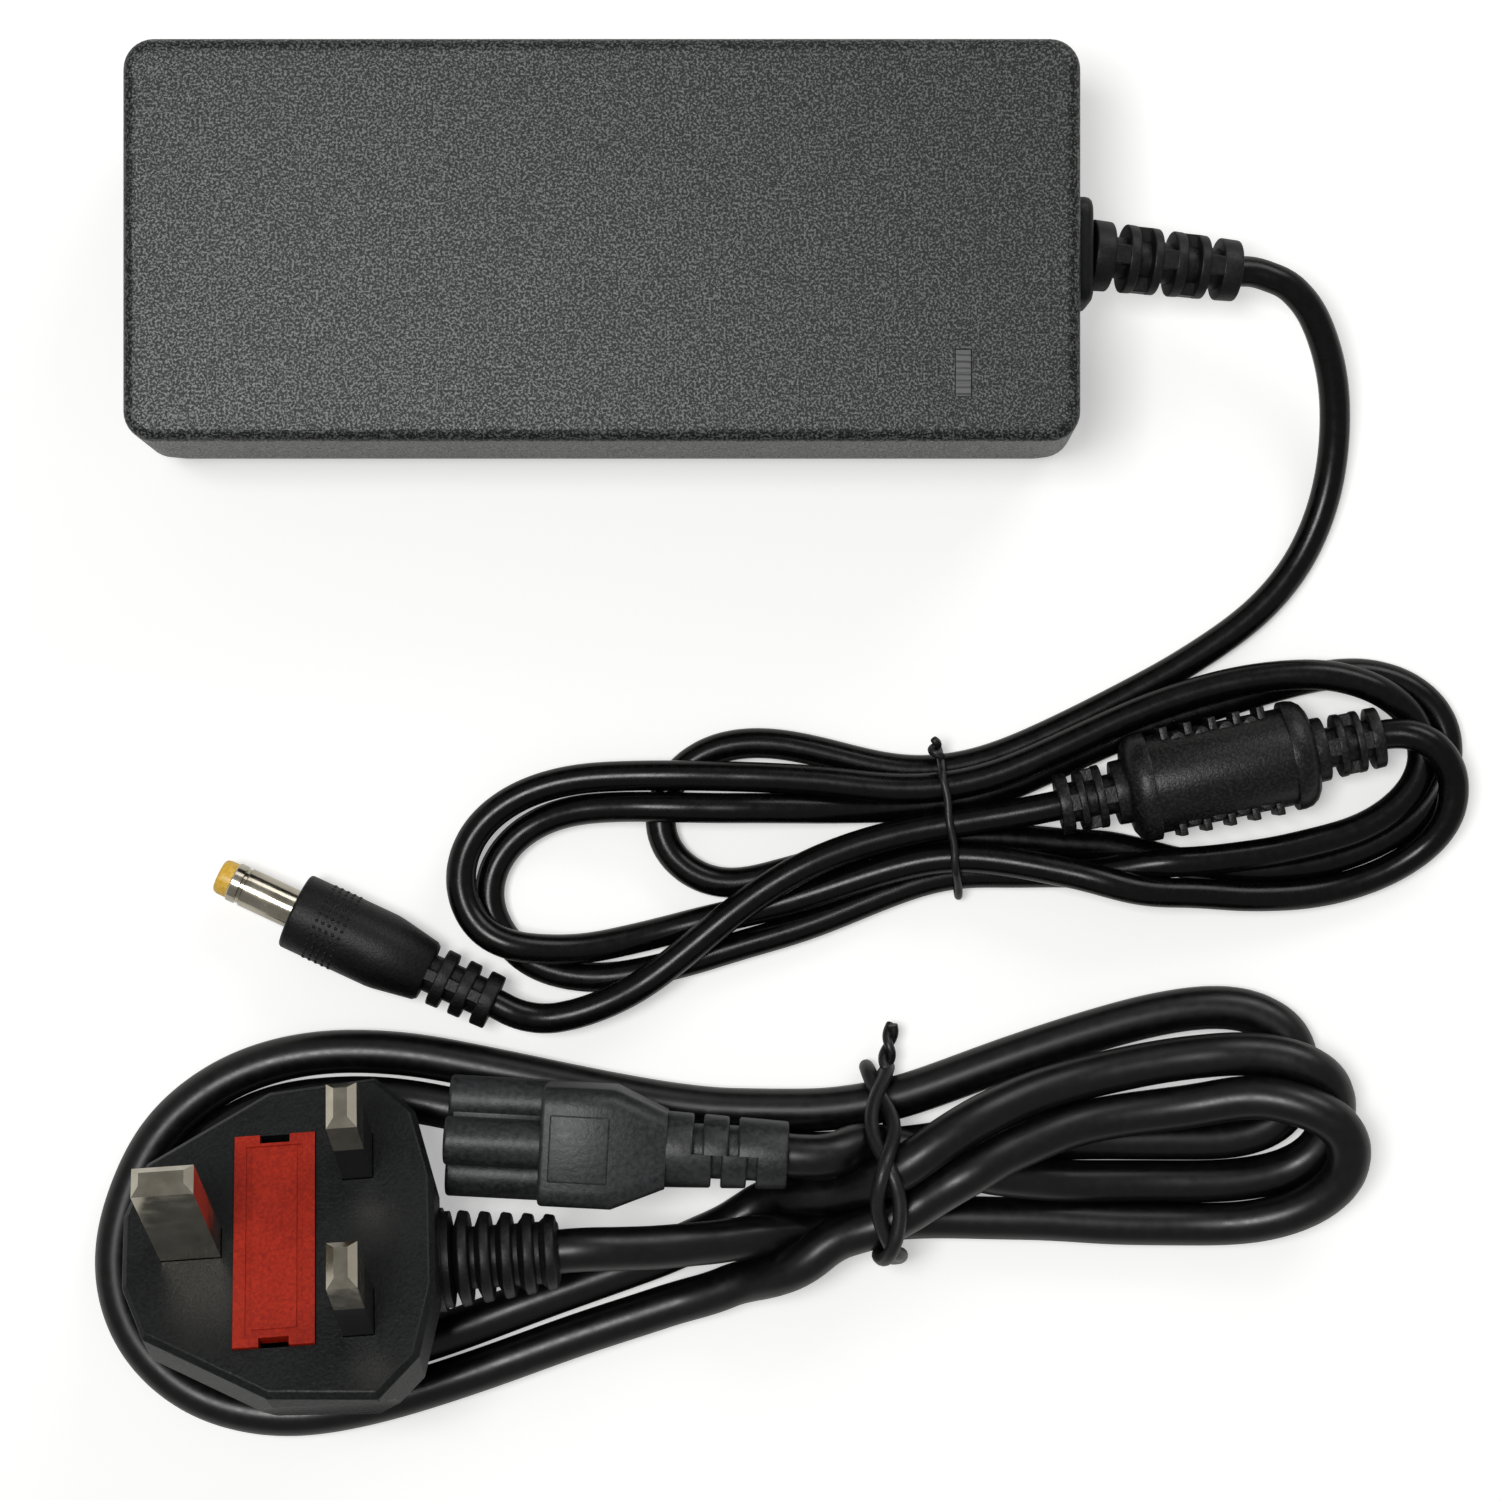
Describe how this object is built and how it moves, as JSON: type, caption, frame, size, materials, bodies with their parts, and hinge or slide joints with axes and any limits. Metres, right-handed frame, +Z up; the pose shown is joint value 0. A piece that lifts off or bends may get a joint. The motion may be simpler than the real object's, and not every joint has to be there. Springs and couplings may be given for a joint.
{
  "type": "laptop power adapter",
  "caption": "Laptop power adapter: black brick with a tied output cord, ferrite bead and round plug, and a tied mains cord with a fused three-pin plug and cloverleaf connector.",
  "frame": {"origin": "centre of the underside of the brick, on the surface it lies on", "axes": "+X along the brick towards the end that the output cord leaves, +Y away from the cords, +Z up"},
  "size_m": [0.1916, 0.1896, 0.0481],
  "materials": {
    "case_black": "spark-eroded texture",
    "inlet_black": "satin",
    "window_grey": "translucent, ribbed",
    "led_clear": "clear",
    "nickel": "bright nickel plate",
    "board_green": "solder mask",
    "component_black": "moulded epoxy",
    "component_brown": "coated",
    "component_green": "coated",
    "component_blue": "coated",
    "component_white": "moulded",
    "film_yellow": "boxed film",
    "sleeve_blue": "shrink sleeve",
    "sleeve_violet": "shrink sleeve",
    "ferrite_grey": "sintered",
    "copper": "enamelled copper wire",
    "tape_yellow": "polyester tape over copper",
    "heatsink": "mill finish",
    "pad_grey": "silicone pad",
    "sheet_cream": "polyester sheet",
    "wire_red": "insulated wire",
    "relief_black": "satin vinyl",
    "cord_black": "glossy vinyl",
    "bead_black": "fine grain",
    "tie_black": "coated wire",
    "grip_black": "satin, dimpled",
    "tip_yellow": "moulded insulator",
    "contact_brass": "spring brass",
    "plug_black": "fine texture",
    "sleeve_black": "moulded",
    "carrier_red": "moulded",
    "fuse_ceramic": "glazed",
    "connector_black": "satin"
  },
  "bodies": {
    "adapter": {"top_cover": "case_black", "bottom_cover": "case_black", "indicator_window": "window_grey", "indicator_led": "led_clear", "ac_inlet": "inlet_black", "inlet_pins": "nickel", "circuit_board": "board_green", "input_fuse": "component_brown", "inrush_thermistor": "component_green", "x_capacitor": "film_yellow", "choke_core": "ferrite_grey", "choke_windings": "copper", "bridge_rectifier": "component_black", "bulk_capacitor": "sleeve_blue", "switching_transistor": "component_black", "primary_heatsink": "heatsink", "transformer_core": "ferrite_grey", "transformer_winding": "tape_yellow", "y_capacitor": "component_blue", "optocoupler": "component_white", "controller_chip": "component_black", "output_rectifier": "component_black", "secondary_heatsink": "heatsink", "output_capacitors": "sleeve_violet", "output_choke": "ferrite_grey", "output_wires": "wire_red", "heat_spreader": "heatsink", "thermal_pad": "pad_grey", "insulating_sheet": "sheet_cream", "output_strain_relief": "relief_black", "output_cord_run": "cord_black", "output_cord_hank": "cord_black", "bead_link_cord": "cord_black", "ferrite_moulding": "bead_black", "ferrite_core": "ferrite_grey", "bead_inner_cord": "cord_black", "output_plug_cord": "cord_black", "output_cord_tie": "tie_black", "output_plug_grip": "grip_black", "output_plug_barrel": "nickel", "output_plug_insulator": "tip_yellow", "output_plug_contact": "contact_brass"},
    "mains_lead": {"mains_plug_body": "plug_black", "earth_pin": "nickel", "live_pin": "nickel", "neutral_pin": "nickel", "pin_sleeves": "sleeve_black", "fuse_clips": "contact_brass", "mains_plug_relief": "relief_black", "mains_plug_cord": "cord_black", "mains_cord_hank": "cord_black", "mains_socket_cord": "cord_black", "mains_cord_tie": "tie_black", "mains_socket": "connector_black", "socket_contacts": "contact_brass", "mains_socket_relief": "relief_black"},
    "fuse_drawer": {"fuse_carrier": "carrier_red", "fuse_tube": "fuse_ceramic", "fuse_caps": "nickel"}
  },
  "joints": [
    {"name": "mains_lead_draw", "type": "slide", "parent": "adapter", "child": "mains_lead", "axis": [0, -1, 0], "range_m": [0, 0.1]},
    {"name": "fuse_drawer_slide", "type": "slide", "parent": "mains_lead", "child": "fuse_drawer", "axis": [-0.0349, 0.4988, 0.866], "range_m": [0, 0.012]}
  ]
}
